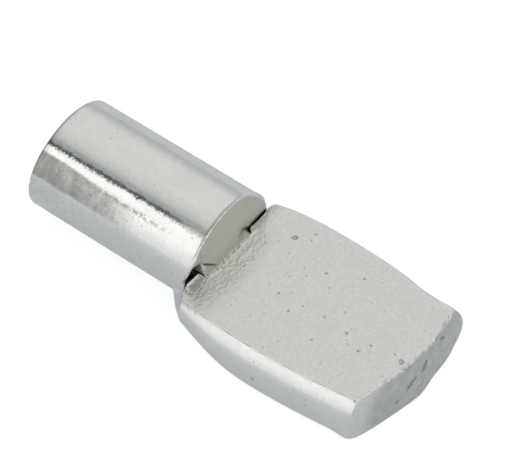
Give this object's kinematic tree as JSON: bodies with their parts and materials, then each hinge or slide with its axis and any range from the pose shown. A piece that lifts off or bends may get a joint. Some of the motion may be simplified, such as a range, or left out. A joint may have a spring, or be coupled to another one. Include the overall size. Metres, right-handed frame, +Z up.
{
  "type": "shelf support pin",
  "caption": "Spoon-shaped shelf support pin: a round pin for a hole in a cabinet's panel, with a flat, slightly barrelled seat that carries the shelf's edge.",
  "frame": {"origin": "where the pin's axis meets the face of the cabinet's panel: the plane that the two back corners of the seat touch", "axes": "-X along the pin into the panel, +X out along the seat to its free end, +Y across the seat, +Z up, normal to the flat seat"},
  "size_m": [0.0173, 0.0074, 0.005],
  "materials": {
    "nickel_plated_steel": "bright nickel plating over cold-formed steel, a little rough, with small pits and shear marks"
  },
  "bodies": {
    "root": {"shelf_pin": "nickel_plated_steel"}
  },
  "joints": []
}
